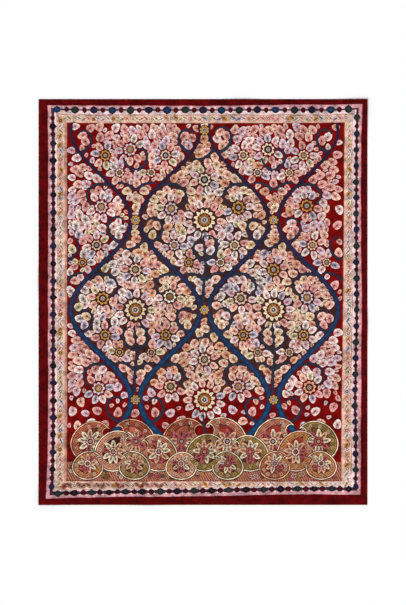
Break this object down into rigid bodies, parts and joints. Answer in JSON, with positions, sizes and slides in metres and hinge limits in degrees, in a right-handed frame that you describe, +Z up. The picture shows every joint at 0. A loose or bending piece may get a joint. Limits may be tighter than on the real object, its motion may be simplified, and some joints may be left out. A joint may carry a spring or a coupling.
{
  "type": "kalamkari panel",
  "caption": "Rectangular hand-painted cotton panel with a hemmed maroon margin, a bead-and-diamond stripe, a floral guard band and a flowering field, lying face up.",
  "frame": {"origin": "on the surface that the cloth lies on, under the middle of the panel", "axes": "+Z up, out of the painted face; +Y towards the panel's top edge; +X to the right seen from above the painted face"},
  "size_m": [0.915, 1.129, 0.0066],
  "materials": {
    "painted_cotton": "matt plain-weave cotton, hand painted and dyed in maroon, red, indigo, ochre and pink on cream"
  },
  "bodies": {
    "root": {"painted_cloth": "painted_cotton"}
  },
  "joints": []
}
